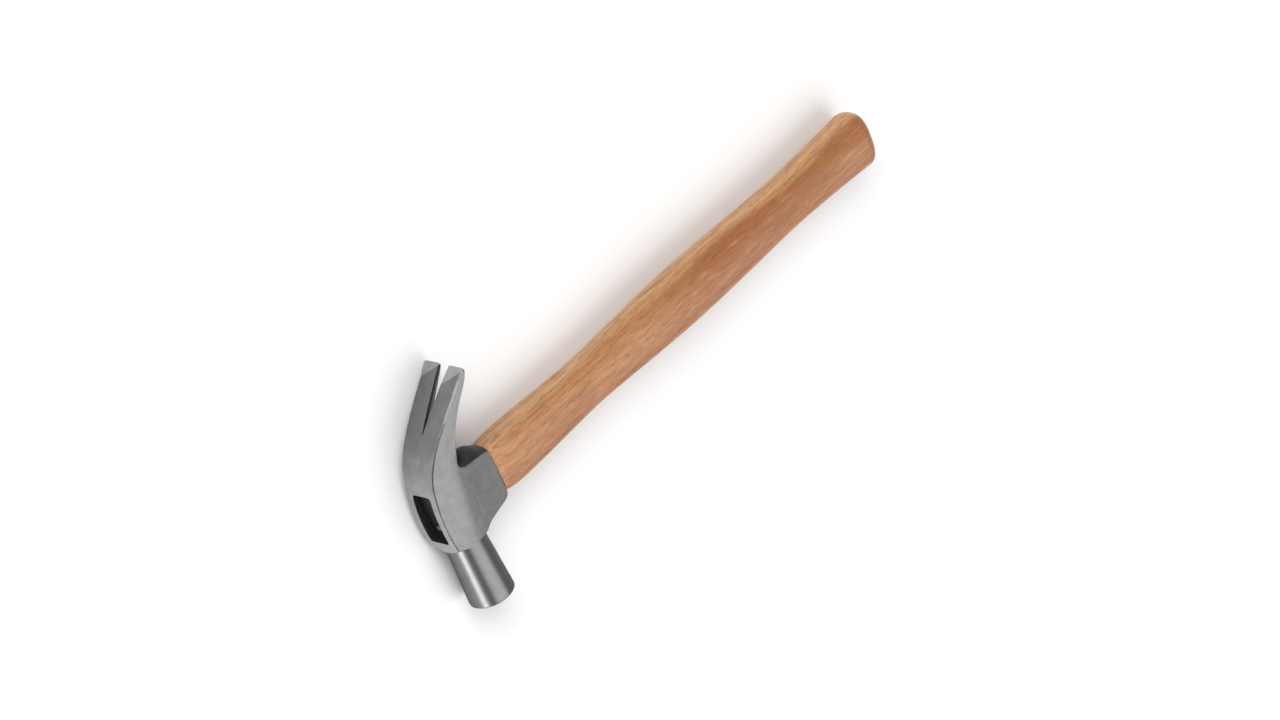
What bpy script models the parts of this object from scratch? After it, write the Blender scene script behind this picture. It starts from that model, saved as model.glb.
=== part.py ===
"""A wooden-handled claw hammer, modelled as it goes together on a bench.

A forged steel head has a curved claw, a round poll and a tapered eye. The
handle's tenon comes up through the eye and stops short of its mouth, where a
wooden wedge, driven into the saw kerf, and a steel wedge, driven across it,
spread the wood and lock the head on.

The hammer lies on its side. Its own axes start where the handle's axis
crosses the poll's axis: x runs towards the butt, y towards the claws and z
across the cheeks. The world's origin is under the middle of the whole hammer.
"""
from math import copysign, cos, pi, sin

import bmesh
import bpy
from mathutils import Vector

MM = 0.001
GAP = 0.3

# Overall limits of the hammer, in millimetres along its own axes.
CROWN_X = -14.6
BUTT_X = 330.0
FACE_Y = -59.5
TIP_Y = 66.3
TIP_HALF_WIDTH = 15.8

# Poll: a cone that widens to the striking face. Near the body each section is
# y, centre in x, half size along x, half size along z and squareness.
FACE_RADIUS = 13.0
FACE_EDGE = 1.2
POLL_NECK = [(-6.0, -2.0, 11.0, 10.4, 3.6), (-17.0, -2.0, 12.2, 11.4, 3.6), (-21.0, -1.6, 11.9, 11.3, 2.6),
             (-27.0, -0.2, 11.55, 11.5, 2.0)]
ROUND = 2.0
POLL_SIDES = 48

# Head, seen from the cheek. The back runs from the poll over the eye to the
# claw tip, and the belly runs from the claw tip back to the notch.
BACK_LINE = [(-14.3, -13.5), (-14.6, -7.0), (-14.5, -1.0), (-13.9, 6.0), (-12.7, 13.0),
             (-10.9, 20.5), (-7.6, 27.8), (-2.8, 34.7), (3.0, 40.7), (11.0, 47.7),
             (20.5, 55.2), (28.6, 61.4), (35.2, 66.3)]
BELLY_LINE = [(36.2, 65.0), (34.0, 60.6), (30.2, 56.2), (25.6, 51.6), (20.6, 45.7),
              (16.0, 39.0), (12.9, 32.8), (11.2, 26.5)]
NOTCH = [(10.8, 22.0), (11.2, 19.8), (13.4, 18.5)]
COLLAR_END = [(24.0, 16.2), (30.4, 14.4), (31.5, 13.2), (31.5, -13.0), (30.6, -15.2)]
CHIN = [(27.8, -16.5), (20.0, -17.6), (13.0, -19.1), (8.0, -21.8), (-4.0, -21.8)]
POLL_SHOULDER = [(-9.0, -20.2), (-12.8, -19.1), (-13.9, -17.7)]
BACK_CHAMFER = 1.1
EDGE_BREAK = 0.35
CHAMFER_FADE = 12.0
LINE_STEPS = 3
CHEEK_GRID = 6.0

# Cheeks: flat and parallel by the crown, then tapering to the collar's end.
CHEEK_HALF_WIDTH = 12.0
COLLAR_END_HALF_WIDTH = 8.2
COLLAR_END_X = 31.5
TAPER_START_X = 3.0
TAPER_SLANT = 0.17
CLAW_SPREAD_START_Y = 23.0

# V slot between the claws, from its root to the tips.
SLOT_ROOT = (5.0, 41.5)
SLOT_ALONG = (0.777, 0.63)
SLOT_LENGTH = 46.0
SLOT_END_HALF_WIDTH = 4.6
SLOT_ROOT_HALF_WIDTH = 0.25
SLOT_DEPTH = 30.0

# Eye: centre in y, half length along y and half width along z at its two ends.
EYE_MOUTH = (CROWN_X, 0.4, 14.6, 7.35)
EYE_COLLAR = (COLLAR_END_X, -0.4, 12.6, 6.2)
EYE_SQUARENESS = 9.0
EYE_OVERRUN = 6.0

# Handle sections: x, half height along y, half thickness along z, squareness.
GRIP = [(31.8, 13.6, 8.0, 6.0), (36.0, 14.15, 9.1, 6.0), (43.0, 14.4, 9.95, 5.6), (58.0, 14.4, 10.35, 4.4),
        (84.0, 13.95, 10.25, 3.3), (108.0, 13.4, 10.05, 2.9), (132.0, 14.1, 10.8, 2.8),
        (160.0, 15.2, 11.75, 2.75), (185.0, 15.6, 12.25, 2.7), (210.0, 15.25, 12.0, 2.7),
        (240.0, 14.45, 11.25, 2.65), (264.0, 13.9, 10.75, 2.6), (290.0, 14.5, 11.15, 2.6),
        (310.0, 15.3, 11.8, 2.6), (322.5, 16.1, 12.3, 2.6)]
GRIP_STEPS = 3
BUTT_ROUND = 5.5
BUTT_TILT = 0.1
BUTT_STEPS = 6
HANDLE_SIDES = 36
TENON_END_X = -8.6

# Wooden wedge, in a kerf that runs the whole length of the tenon's end.
KERF_DEPTH = 25.0
WOOD_WEDGE_DEPTH = 23.0
WOOD_WEDGE_TOP = 4.2
WOOD_WEDGE_TOE = 1.0
WOOD_WEDGE_PROUD = 0.4

# Steel wedge, driven across the wooden one near the poll.
STEEL_WEDGE_Y = -8.2
STEEL_WEDGE_WIDTH = 9.0
STEEL_WEDGE_DEPTH = 15.0
STEEL_WEDGE_TOP = 2.6
STEEL_WEDGE_TOE = 0.9
STEEL_WEDGE_PROUD = 1.4

WORLD_ORIGIN = Vector(((CROWN_X + BUTT_X) / 2, (FACE_Y + TIP_Y) / 2, -TIP_HALF_WIDTH))


def clear_scene():
    for obj in list(bpy.data.objects):
        bpy.data.objects.remove(obj, do_unlink=True)


def make_material(name, colour, roughness, metallic):
    material = bpy.data.materials.new(name)
    material.use_nodes = True
    shader = material.node_tree.nodes["Principled BSDF"]
    shader.inputs["Base Color"].default_value = (*colour, 1.0)
    shader.inputs["Roughness"].default_value = roughness
    shader.inputs["Metallic"].default_value = metallic
    return material


def make_object(name, bm, parent):
    """Turn a bmesh in millimetres into an object in metres under its parent."""
    bmesh.ops.scale(bm, vec=(MM, MM, MM), verts=bm.verts)
    bmesh.ops.recalc_face_normals(bm, faces=bm.faces)
    mesh = bpy.data.meshes.new(name)
    bm.to_mesh(mesh)
    bm.free()
    obj = bpy.data.objects.new(name, mesh)
    obj.parent = parent
    bpy.context.scene.collection.objects.link(obj)
    return obj


def finish_part(obj, material, sharp_angle=0.6):
    obj.data.materials.append(material)
    obj.data.shade_smooth()
    obj.data.set_sharp_from_angle(angle=sharp_angle)


def boolean(obj, other, operation):
    modifier = obj.modifiers.new(other.name, "BOOLEAN")
    modifier.operation = operation
    modifier.solver = "EXACT"
    modifier.object = other
    other.hide_render = True
    other.display_type = "WIRE"


def smooth_through(points, steps):
    """Points along a Catmull-Rom curve through the given ones."""
    vectors = [Vector(point) for point in points]
    ends = [2 * vectors[0] - vectors[1], 2 * vectors[-1] - vectors[-2]]
    padded = [ends[0], *vectors, ends[1]]
    result = []
    for before, start, end, after in zip(padded, padded[1:], padded[2:], padded[3:]):
        for step in range(steps):
            t = step / steps
            bend = 2 * before - 5 * start + 4 * end - after
            curl = 3 * start - before - 3 * end + after
            result.append(start + 0.5 * ((end - before) * t + bend * t ** 2 + curl * t ** 3))
    result.append(vectors[-1])
    return result


def blend(low, high, fraction):
    return low + (high - low) * fraction


def ease(value, start, end):
    """0 before start, 1 after end, and a smooth rise between them."""
    t = min(max((value - start) / (end - start), 0.0), 1.0)
    return t * t * (3 - 2 * t)


def cheek_half_width(x, y):
    """Half the head's width across the cheeks at a point of its side view."""
    start = TAPER_START_X + TAPER_SLANT * y
    slope = (CHEEK_HALF_WIDTH - COLLAR_END_HALF_WIDTH) / (COLLAR_END_X - TAPER_START_X)
    past_start = x - start
    taper = slope * max(past_start, 0.0) * (1 - ease(y, 18.0, 34.0))
    spread = (TIP_HALF_WIDTH - CHEEK_HALF_WIDTH) / (TIP_Y - CLAW_SPREAD_START_Y)
    claw = spread * max(y - CLAW_SPREAD_START_Y, 0.0)
    return CHEEK_HALF_WIDTH - taper + claw


def side_outline():
    back = smooth_through(BACK_LINE, LINE_STEPS)
    belly = smooth_through(BELLY_LINE, LINE_STEPS)
    corners = [Vector(point) for point in NOTCH + COLLAR_END + CHIN + POLL_SHOULDER]
    return back + belly + corners, back


def chamfer_at(point, back_line):
    """Width of the ground edge: wide along the back, fading out at the claw tips."""
    if distance_to_line(point, back_line) > BACK_CHAMFER + 0.1:
        return EDGE_BREAK
    from_tip = (point - back_line[-1]).length
    return blend(EDGE_BREAK, BACK_CHAMFER, ease(from_tip, 1.0, CHAMFER_FADE))


def outward(before, point, after):
    """Mitred outward direction at a corner of an outline that runs clockwise."""
    into = (point - before).normalized()
    away = (after - point).normalized()
    mean = (into + away).normalized()
    normal = Vector((-mean.y, mean.x))
    return normal / max(normal.dot(Vector((-into.y, into.x))), 0.5)


def build_head_plate():
    """One cheek of the head and half its thickness, down to the middle plane."""
    outline, back_line = side_outline()
    count = len(outline)
    bm = bmesh.new()
    flat = []
    for index, point in enumerate(outline):
        normal = outward(outline[index - 1], point, outline[(index + 1) % count])
        inner = point - chamfer_at(point, back_line) * normal
        flat.append(bm.verts.new((inner.x, inner.y, 0.0)))
    bm.faces.new(flat)
    cut_into_grid(bm, CHEEK_GRID)
    for vert in bm.verts:
        vert.co.z = cheek_half_width(vert.co.x, vert.co.y)
    add_rim(bm, back_line)
    return bm


def cut_into_grid(bm, spacing):
    for axis, low, high in ((0, CROWN_X, BELLY_LINE[0][0]), (1, CHIN[-1][1], TIP_Y)):
        normal = Vector((0.0, 0.0, 0.0))
        normal[axis] = 1.0
        for index in range(1, int((high - low) / spacing) + 1):
            place = normal * (low + index * spacing)
            parts = bm.verts[:] + bm.edges[:] + bm.faces[:]
            bmesh.ops.bisect_plane(bm, geom=parts, dist=0.001, plane_co=place, plane_no=normal)


def distance_to_line(point, line):
    best = 1e9
    for start, end in zip(line, line[1:]):
        run = end - start
        t = min(max((point - start).dot(run) / run.length_squared, 0.0), 1.0)
        best = min(best, (point - start - t * run).length)
    return best


def add_rim(bm, back_line):
    """Chamfer the open edge of a cheek outwards, then drop it to the middle plane."""
    loop = ordered_boundary(bm)
    count = len(loop)
    flat = [Vector((vert.co.x, vert.co.y)) for vert in loop]
    ring = []
    for index, vert in enumerate(loop):
        chamfer = chamfer_at(flat[index], back_line)
        normal = outward(flat[index - 1], flat[index], flat[(index + 1) % count])
        edge = flat[index] + chamfer * normal
        ring.append(bm.verts.new((edge.x, edge.y, vert.co.z - chamfer)))
    middle = [bm.verts.new((vert.co.x, vert.co.y, 0.0)) for vert in ring]
    for upper, lower in ((loop, ring), (ring, middle)):
        for index in range(count):
            after = (index + 1) % count
            bm.faces.new((upper[index], upper[after], lower[after], lower[index]))


def ordered_boundary(bm):
    """The boundary's vertices, clockwise as seen from above."""
    edges = [edge for edge in bm.edges if edge.is_boundary]
    start = edges[0].verts[0]
    loop = [start]
    edge = edges[0]
    vert = edge.other_vert(start)
    while vert is not start:
        loop.append(vert)
        edge = next(item for item in vert.link_edges if item.is_boundary and item is not edge)
        vert = edge.other_vert(vert)
    area = sum(a.co.x * b.co.y - b.co.x * a.co.y for a, b in zip(loop, loop[1:] + loop[:1]))
    return loop if area < 0 else loop[::-1]


def section(half_width, half_height, squareness, sides):
    """Points round a section, which is an ellipse at squareness 2 and boxier above it."""
    power = 2 / squareness
    points = []
    for index in range(sides):
        angle = 2 * pi * (index + 0.5) / sides
        across = copysign(abs(cos(angle)) ** power, cos(angle))
        up = copysign(abs(sin(angle)) ** power, sin(angle))
        points.append((half_width * across, half_height * up))
    return points


def loft(rings):
    """A closed body through rings of points, capped at both ends."""
    bm = bmesh.new()
    loops = [[bm.verts.new(point) for point in ring] for ring in rings]
    for lower, upper in zip(loops, loops[1:]):
        for index in range(len(lower)):
            after = (index + 1) % len(lower)
            bm.faces.new((lower[index], lower[after], upper[after], upper[index]))
    bm.faces.new(loops[0])
    bm.faces.new(loops[-1])
    return bm


def eye_ring(x, inset):
    """The eye's section at x, drawn in by an inset."""
    fraction = (x - EYE_MOUTH[0]) / (EYE_COLLAR[0] - EYE_MOUTH[0])
    middle, half_y, half_z = (blend(a, b, fraction) for a, b in zip(EYE_MOUTH[1:], EYE_COLLAR[1:]))
    outline = section(half_y - inset, half_z - inset, EYE_SQUARENESS, HANDLE_SIDES)
    return [(x, middle + y, z) for y, z in outline]


def grip_ring(x, half_y, half_z, squareness):
    return [(x, y, z) for y, z in section(half_y, half_z, squareness, HANDLE_SIDES)]


def build_poll(parent):
    """Round poll with a chamfered face, running back into the body."""
    face = [(FACE_Y + FACE_EDGE, FACE_RADIUS), (FACE_Y + FACE_EDGE / 3, FACE_RADIUS - FACE_EDGE / 3),
            (FACE_Y, FACE_RADIUS - FACE_EDGE)]
    stations = POLL_NECK + [(y, 0.0, radius, radius, ROUND) for y, radius in face]
    rings = []
    for y, middle, half_x, half_z, squareness in stations:
        outline = section(half_x, half_z, squareness, POLL_SIDES)
        rings.append([(middle + x, y, z) for x, z in outline])
    return make_object("poll_body", loft(rings), parent)


def build_slot(parent):
    """Wedge-shaped cutter that parts the claws, square to the claw's back."""
    along = Vector((*SLOT_ALONG, 0.0)).normalized()
    across = Vector((along.y, -along.x, 0.0))
    root = Vector((*SLOT_ROOT, 0.0))
    rings = []
    for depth in (-SLOT_DEPTH, SLOT_DEPTH):
        start = root + depth * across
        end = start + SLOT_LENGTH * along
        rings.append([start - Vector((0, 0, SLOT_ROOT_HALF_WIDTH)), start + Vector((0, 0, SLOT_ROOT_HALF_WIDTH)),
                      end + Vector((0, 0, SLOT_END_HALF_WIDTH)), end - Vector((0, 0, SLOT_END_HALF_WIDTH))])
    return make_object("slot_cutter", loft(rings), parent)


def build_head(parent, material):
    head = make_object("hammer_head", build_head_plate(), parent)
    mirror = head.modifiers.new("both_cheeks", "MIRROR")
    mirror.use_axis = (False, False, True)
    mirror.merge_threshold = 0.00001
    eye = loft([eye_ring(CROWN_X - EYE_OVERRUN, 0.0), eye_ring(COLLAR_END_X + EYE_OVERRUN, 0.0)])
    boolean(head, build_poll(parent), "UNION")
    boolean(head, make_object("eye_cutter", eye, parent), "DIFFERENCE")
    boolean(head, build_slot(parent), "DIFFERENCE")
    finish_part(head, material)
    return head


def build_wedge(y_ends, z_ends, x_ends, clearance):
    """A wedge body between its top and its toe; y_ends and z_ends hold a (low, high) pair at each end."""
    rings = []
    for (y_low, y_high), (z_low, z_high), x in zip(y_ends, z_ends, x_ends):
        y_low, y_high = y_low - clearance, y_high + clearance
        z_low, z_high = z_low - clearance, z_high + clearance
        rings.append([(x, y_low, z_low), (x, y_high, z_low), (x, y_high, z_high), (x, y_low, z_high)])
    return loft(rings)


def wood_wedge_body(clearance, x_ends, overhang):
    top = WOOD_WEDGE_TOP / 2
    toe = WOOD_WEDGE_TOE / 2
    y_ends = []
    for x in x_ends:
        ring = eye_ring(x, GAP)
        side = [y for _, y, _ in ring]
        y_ends.append((min(side) - overhang, max(side) + overhang))
    return build_wedge(y_ends, ((-top, top), (-toe, toe)), x_ends, clearance)


def steel_wedge_body(clearance, x_ends):
    y_ends = [(STEEL_WEDGE_Y - size / 2, STEEL_WEDGE_Y + size / 2) for size in (STEEL_WEDGE_TOP, STEEL_WEDGE_TOE)]
    half = STEEL_WEDGE_WIDTH / 2
    return build_wedge(y_ends, ((-half, half), (-half, half)), x_ends, clearance)


def steel_slot_cutter(name, parent):
    """Room for the steel wedge, with the working gap round it."""
    start = TENON_END_X - STEEL_WEDGE_PROUD
    ends = (start, start + STEEL_WEDGE_DEPTH + GAP)
    return make_object(name, steel_wedge_body(GAP, ends), parent)


def build_handle(parent, material):
    tenon = [eye_ring(x, GAP) for x in (TENON_END_X, COLLAR_END_X + GAP)]
    grip = smooth_through(GRIP, GRIP_STEPS)
    rings = tenon + [grip_ring(*station) for station in grip]
    last_x, half_y, half_z, squareness = grip[-1]
    end_x = BUTT_X - BUTT_TILT * (half_y - BUTT_ROUND)
    for step in range(1, BUTT_STEPS + 1):
        angle = pi / 2 * step / BUTT_STEPS
        inset = BUTT_ROUND * (1 - cos(angle))
        x = last_x + (end_x - last_x) * sin(angle)
        ring = grip_ring(x, half_y - inset, half_z - inset, squareness)
        rings.append([(x + BUTT_TILT * sin(angle) * y, y, z) for x, y, z in ring])
    handle = make_object("handle", loft(rings), parent)
    ends = (TENON_END_X - 1.0, TENON_END_X + KERF_DEPTH)
    kerf = make_object("kerf_cutter", wood_wedge_body(GAP, ends, 2.0), parent)
    boolean(handle, kerf, "DIFFERENCE")
    boolean(handle, steel_slot_cutter("handle_wedge_cutter", parent), "DIFFERENCE")
    finish_part(handle, material)
    return handle


def build_wooden_wedge(parent, material):
    ends = (TENON_END_X - WOOD_WEDGE_PROUD, TENON_END_X + WOOD_WEDGE_DEPTH)
    wedge = make_object("wooden_wedge", wood_wedge_body(0.0, ends, -0.6), parent)
    boolean(wedge, steel_slot_cutter("wood_wedge_cutter", parent), "DIFFERENCE")
    finish_part(wedge, material)
    return wedge


def build_steel_wedge(parent, material):
    start = TENON_END_X - STEEL_WEDGE_PROUD
    wedge = make_object("steel_wedge", steel_wedge_body(0.0, (start, start + STEEL_WEDGE_DEPTH)), parent)
    finish_part(wedge, material)
    return wedge


def main():
    clear_scene()
    hammer = bpy.data.objects.new("hammer_axes", None)
    hammer.location = -WORLD_ORIGIN * MM
    bpy.context.scene.collection.objects.link(hammer)
    build_head(hammer, make_material("head_steel", (0.34, 0.34, 0.34), 0.35, 1.0))
    build_handle(hammer, make_material("handle_wood", (0.55, 0.27, 0.12), 0.45, 0.0))
    build_wooden_wedge(hammer, make_material("wedge_wood", (0.30, 0.19, 0.10), 0.7, 0.0))
    build_steel_wedge(hammer, make_material("wedge_steel", (0.25, 0.25, 0.26), 0.5, 1.0))


main()
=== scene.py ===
"""Looks of the wooden-handled claw hammer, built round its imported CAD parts.

Every piece is modelled in millimetres on the hammer's own axes: the origin is
where the handle's axis crosses the poll's axis, x runs towards the butt, y
towards the claws and z across the cheeks.
"""

from math import copysign, cos, pi, radians, sin

import bmesh
import bpy
from mathutils import Matrix, Vector


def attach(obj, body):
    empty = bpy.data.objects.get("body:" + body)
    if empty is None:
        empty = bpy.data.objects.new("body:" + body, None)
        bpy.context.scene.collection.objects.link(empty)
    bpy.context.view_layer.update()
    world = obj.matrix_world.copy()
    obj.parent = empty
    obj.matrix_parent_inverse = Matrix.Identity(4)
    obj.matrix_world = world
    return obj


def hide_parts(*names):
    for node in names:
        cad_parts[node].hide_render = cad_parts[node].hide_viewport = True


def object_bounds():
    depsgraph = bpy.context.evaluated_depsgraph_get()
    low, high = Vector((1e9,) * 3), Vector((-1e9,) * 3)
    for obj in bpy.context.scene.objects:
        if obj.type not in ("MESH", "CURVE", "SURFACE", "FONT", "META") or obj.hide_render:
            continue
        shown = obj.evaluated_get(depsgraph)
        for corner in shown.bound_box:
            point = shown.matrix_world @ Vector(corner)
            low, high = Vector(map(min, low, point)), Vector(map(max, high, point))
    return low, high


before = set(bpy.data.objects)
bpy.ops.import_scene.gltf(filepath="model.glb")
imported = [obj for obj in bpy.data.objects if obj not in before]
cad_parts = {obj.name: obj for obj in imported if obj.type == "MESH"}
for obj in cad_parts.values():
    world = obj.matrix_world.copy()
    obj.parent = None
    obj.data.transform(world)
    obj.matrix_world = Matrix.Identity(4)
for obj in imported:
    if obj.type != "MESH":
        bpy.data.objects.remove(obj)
cad_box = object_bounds()

MM = 0.001

# Overall limits along the hammer's own axes, as in the CAD parts.
CROWN_X = -14.6
BUTT_X = 330.0
FACE_Y = -59.5
TIP_Y = 66.3
TIP_HALF_WIDTH = 15.8
HAMMER_ORIGIN = -Vector(((CROWN_X + BUTT_X) / 2, (FACE_Y + TIP_Y) / 2, -TIP_HALF_WIDTH)) * MM

# Poll: a plain cone from inside the body to the striking face.
POLL_START_Y = -6.0
POLL_START_RADIUS = 10.75
POLL_START_X = -0.4
FACE_RADIUS = 13.0
FACE_EDGE = 1.2
FACE_EDGE_STEPS = 5
FACE_CROWN = 0.25
FACE_RINGS = (0.75, 0.5, 0.25, 0.02)
POLL_SIDES = 128
CONE_STEPS = 24

# Side view of the head, clockwise from the poll's shoulder.
BACK_LINE = [(-14.3, -13.5), (-14.6, -7.0), (-14.5, -1.0), (-13.9, 6.0), (-12.7, 13.0),
             (-10.9, 20.5), (-7.6, 27.8), (-2.8, 34.7), (3.0, 40.7), (11.0, 47.7),
             (20.5, 55.2), (28.6, 61.4), (35.2, 66.3)]
BELLY_LINE = [(36.2, 65.0), (34.0, 60.6), (30.2, 56.2), (25.6, 51.6), (20.6, 45.7),
              (16.0, 39.0), (12.9, 32.8), (10.9, 26.5)]
NOTCH = [(9.4, 22.6), (9.6, 19.4), (12.4, 17.5)]
COLLAR_END = [(24.0, 15.6), (30.4, 14.2), (31.5, 13.2), (31.5, -13.0), (30.6, -15.2)]
CHIN = [(27.8, -16.5), (20.0, -17.6), (13.0, -19.1), (8.0, -21.8), (4.0, -22.2)]
POLL_SHOULDER = [(-12.6, -22.2), (-13.3, -21.4), (-13.9, -17.7)]
LINE_STEPS = 7
CORNER_RADIUS = 1.4
CORNER_STEPS = 4
CHEEK_GRID = 1.6
EDGE_BREAK = 0.35

# Rows down the head's rim: how far in and how far down each edge row lies, as shares of the
# edge's inset and drop, then the wall's rows as shares of its height.
EDGE_ROWS = ((0.42, 0.42), (0.0, 1.0))
CROWN_ROWS = (0.93, 0.84, 0.72, 0.58, 0.44, 0.3, 0.15, 0.0)

# The forged sides of the collar are crowned across their width: how far, and between which x.
COLLAR_SIDE_Y = 12.0
NOTCH_TOP_Y = 24.0
CLAW_SIDE_CROWN = 4.8
CLAW_SIDE_RISE_X = (9.5, 19.0)
CLAW_SIDE_FALL_X = (22.0, 31.5)
CLAW_SIDE_FALL = 0.65
POLL_SIDE_CROWN = 1.4
POLL_SIDE_RISE_X = (6.0, 14.0)

# The body ends in a turned shoulder round the poll: flat near it, then a cone, then flat again.
SHOULDER_Y = -22.0
SHOULDER_FLAT_RADIUS = 12.4
SHOULDER_SLOPE = 0.68
SHOULDER_RADIUS = 24.0
SHOULDER_END_X = 14.0
SHOULDER_TOP_Y = -18.55
SHOULDER_TOP_TILT = 0.046

# Ground edge along the back: wide on the claws, then a fine line past the eye.
BACK_EDGE = 0.6
CLAW_CHAMFER_INSET = 1.1
CLAW_CHAMFER_DROP = 1.3
CLAW_CHAMFER_LENGTH = 31.0
CLAW_CHAMFER_EASE = (3.5, 8.0)
TIP_EDGE_GROWTH = 0.25

# Cheeks: half widths across the head.
CHEEK_HALF_WIDTH = 12.0
COLLAR_END_HALF_WIDTH = 8.2
COLLAR_END_X = 31.5
TAPER_START_X = 3.0
TAPER_SLANT = 0.17
TAPER_SOFTNESS = 2.5
TAPER_FADE_Y = (18.0, 34.0)
CLAW_SPREAD_START_Y = 23.0
CLAW_SPREAD_SOFTNESS = 3.0

# V slot between the claws, from its root to the tips.
SLOT_ROOT = (5.0, 41.5)
SLOT_ALONG = (0.777, 0.63)
SLOT_LENGTH = 46.0
SLOT_END_HALF_WIDTH = 4.6
SLOT_ROOT_HALF_WIDTH = 0.25
SLOT_DEPTH = 14.0
SLOT_WALL = 1.7
SLOT_FLARE = 0.75
SLOT_FLARE_RUN = 12.0
SLOT_START = -0.5
SLOT_RISE = 3.0
SLOT_OVERRUN = 8

# Claw tips: rounded corners and a ground facet that reaches further on one side.
TIP_ALONG = (0.803, 0.596)
TIP_INNER_Z = 3.95
TIP_INNER_ROUND = 1.1
TIP_OUTER_ROUND = 3.2
TIP_ROUND_POWER = 4
TIP_ROUND_STEPS = 24
TIP_ALLOWANCE = 0.15
TIP_FACET_LONG = 10.5
TIP_FACET_SHORT = 1.6
TIP_FACET_DEPTH = 0.4

# How far the tip cutters reach past the claw: through it, ahead of it and beside it.
CUTTER_THROUGH = 6.0
CUTTER_AHEAD = 5.0
CUTTER_BESIDE = 3.0
FACET_CUTTER_AHEAD = 16.0
FACET_CUTTER_ENDS = (-9.0, 26.0)

# Eye: centre in y, half length along y and half width along z at its two ends.
EYE_MOUTH = (CROWN_X, 0.4, 14.6, 7.35)
EYE_COLLAR = (COLLAR_END_X, -0.4, 12.6, 6.2)
EYE_SQUARENESS = 13.0
EYE_SIDES = 96
EYE_LIP = 0.55
EYE_LIP_ENDS = (-0.3, 0.9)
EYE_OVERRUN = 6.0
EYE_OVERRUN_FLARE = 0.35

# Handle sections: x, half height along y, half thickness along z, squareness.
GRIP = [(31.8, 13.6, 8.0, 6.0), (36.0, 14.15, 9.1, 6.0), (43.0, 14.4, 9.95, 5.6),
        (58.0, 14.4, 10.35, 4.4), (84.0, 13.95, 10.25, 3.3), (108.0, 13.4, 10.05, 2.9),
        (132.0, 14.1, 10.8, 2.8), (160.0, 15.2, 11.75, 2.75), (185.0, 15.6, 12.25, 2.7),
        (210.0, 15.25, 12.0, 2.7), (240.0, 14.45, 11.25, 2.65), (264.0, 13.9, 10.75, 2.6),
        (290.0, 14.5, 11.15, 2.6), (310.0, 15.3, 11.8, 2.6), (322.5, 16.1, 12.3, 2.6)]
GRIP_STEPS = 10
HANDLE_SIDES = 128
BUTT_ROUND = 5.5
BUTT_TILT = 0.1
BUTT_STEPS = 14
BUTT_RINGS = 10
TENON_END_X = -8.6
TENON_MIDDLE_X = (0.0, 16.0)
TENON_GAP = 0.06
COLLAR_ROUND = 0.7
COLLAR_ROUND_RUN = 0.25
COLLAR_ROUND_STEPS = 4

# Wooden wedge in the tenon's kerf, and the steel wedge across it.
KERF_DEPTH = 25.0
KERF_GAP = 0.08
KERF_OVERHANG = 2.0
WOOD_WEDGE_DEPTH = 23.0
WOOD_WEDGE_TOP = 4.2
WOOD_WEDGE_TOE = 1.0
WOOD_WEDGE_PROUD = 0.4
WOOD_WEDGE_SIDE_GAP = 0.4
STEEL_WEDGE_Y = -8.2
STEEL_WEDGE_WIDTH = 9.0
STEEL_WEDGE_DEPTH = 15.0
STEEL_WEDGE_TOP = 2.6
STEEL_WEDGE_TOE = 0.9
STEEL_WEDGE_PROUD = 1.4

# Camera: its direction from the hammer, the picture's up direction, and a point on its axis.
CAMERA_DIRECTION = (-0.4558, 0.4803, 0.7494)
CAMERA_UP = (0.5968, 0.7896, -0.1431)
CAMERA_AIM = (134.75, -3.83, 14.35)
CAMERA_DISTANCE = 5.76
CAMERA_LENS = 309.0

# Studio: each panel's direction, the angles its core and its soft edge reach, and its strength.
PANELS = [((0.10, -0.50, 0.86), 27.0, 33.0, 2.4),
          ((-0.87, -0.48, 0.03), 12.0, 20.0, 9.5),
          ((-0.25, 0.72, 0.65), 16.0, 26.0, 5.5),
          ((0.95, -0.20, 0.20), 10.0, 35.0, 0.25)]
ROOM_LIGHT = 0.36
BACKDROP = 0.88
FLOOR_RADIUS = 9000.0

# Materials of the head, in the order of its material slots.
STEEL, CHAMFER, PAINT, TURNED, GLOSS_PAINT, FACET = range(6)

# Steel: y from the eye towards the claws over which the ground back's colour changes, a painted
# reflection that is darker on the claws and lighter towards the eye.
PAINTED_REFLECTION_TO_CLAWS_Y = (31.0, 40.0)
PAINTED_REFLECTION_TO_EYE_Y = (32.0, 12.0)
PAINTED_REFLECTION_MIDDLE_SHARE = 0.45
POLL_TONES = (0.185, 0.20)
POLL_EDGE_TINT = 0.4

# Wood: its direction across the grain in y and z, and where along the handle its tone changes.
ACROSS_GRAIN = (0.84, 0.54)
HEART_X = (135.0, 215.0)
PAINTED_TENON_X = (-4.0, -6.5)
NEAR_HEAD_WOOD = (0.50, 0.232, 0.092)
HEARTWOOD = (0.37, 0.138, 0.047)
ROSE_WOOD = (0.445, 0.202, 0.095)
# Lighter claw-side edge band: partly sapwood colour, partly painted sheen.
SAPWOOD_AND_SHEEN = (0.60, 0.32, 0.135)
DARK_MOTTLE = (0.32, 0.115, 0.042)
LIGHT_MOTTLE = (0.60, 0.33, 0.16)
GROWTH_RING = (0.30, 0.12, 0.048)
DARK_FIBRE = (0.24, 0.090, 0.036)
LIGHT_FIBRE = (0.68, 0.40, 0.185)
PORE = (0.15, 0.055, 0.022)
TENON_PAINT = (0.02, 0.02, 0.02)

# Black paint between its grains and on them.
PAINT_DARK = (0.014, 0.014, 0.014)
PAINT_LIGHT = (0.055, 0.055, 0.057)


# ---------------------------------------------------------------- geometry

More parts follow.
